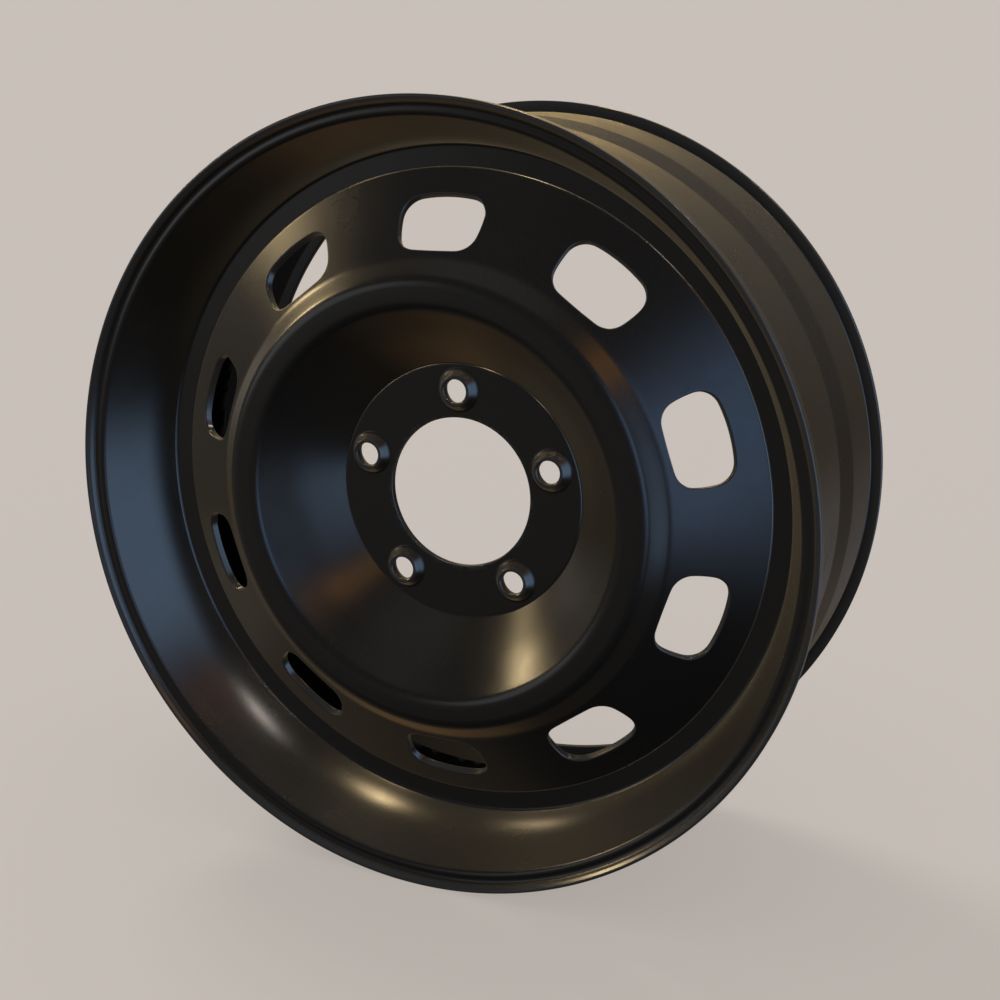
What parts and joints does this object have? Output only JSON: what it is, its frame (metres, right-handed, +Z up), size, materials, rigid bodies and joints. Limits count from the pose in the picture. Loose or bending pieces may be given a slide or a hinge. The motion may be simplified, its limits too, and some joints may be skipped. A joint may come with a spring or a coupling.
{
  "type": "steel road wheel",
  "caption": "Dished pressed-steel road wheel with a rolled rim, vent windows, a pressed bowl and raised stud bosses.",
  "frame": {"origin": "centre of the wheel: on the axis, halfway between the two flange edges", "axes": "the wheel spins about +Y, its face looks toward -Y and the hub side is +Y; +Z is up, with one vent window and one stud hole at the top"},
  "size_m": [0.4182, 0.1686, 0.418],
  "materials": {
    "rim_paint": "satin black",
    "disc_paint": "satin black",
    "weld_paint": "satin black over weld metal"
  },
  "bodies": {
    "root": {"rim": "rim_paint", "disc": "disc_paint", "weld_beads": "weld_paint"}
  },
  "joints": []
}
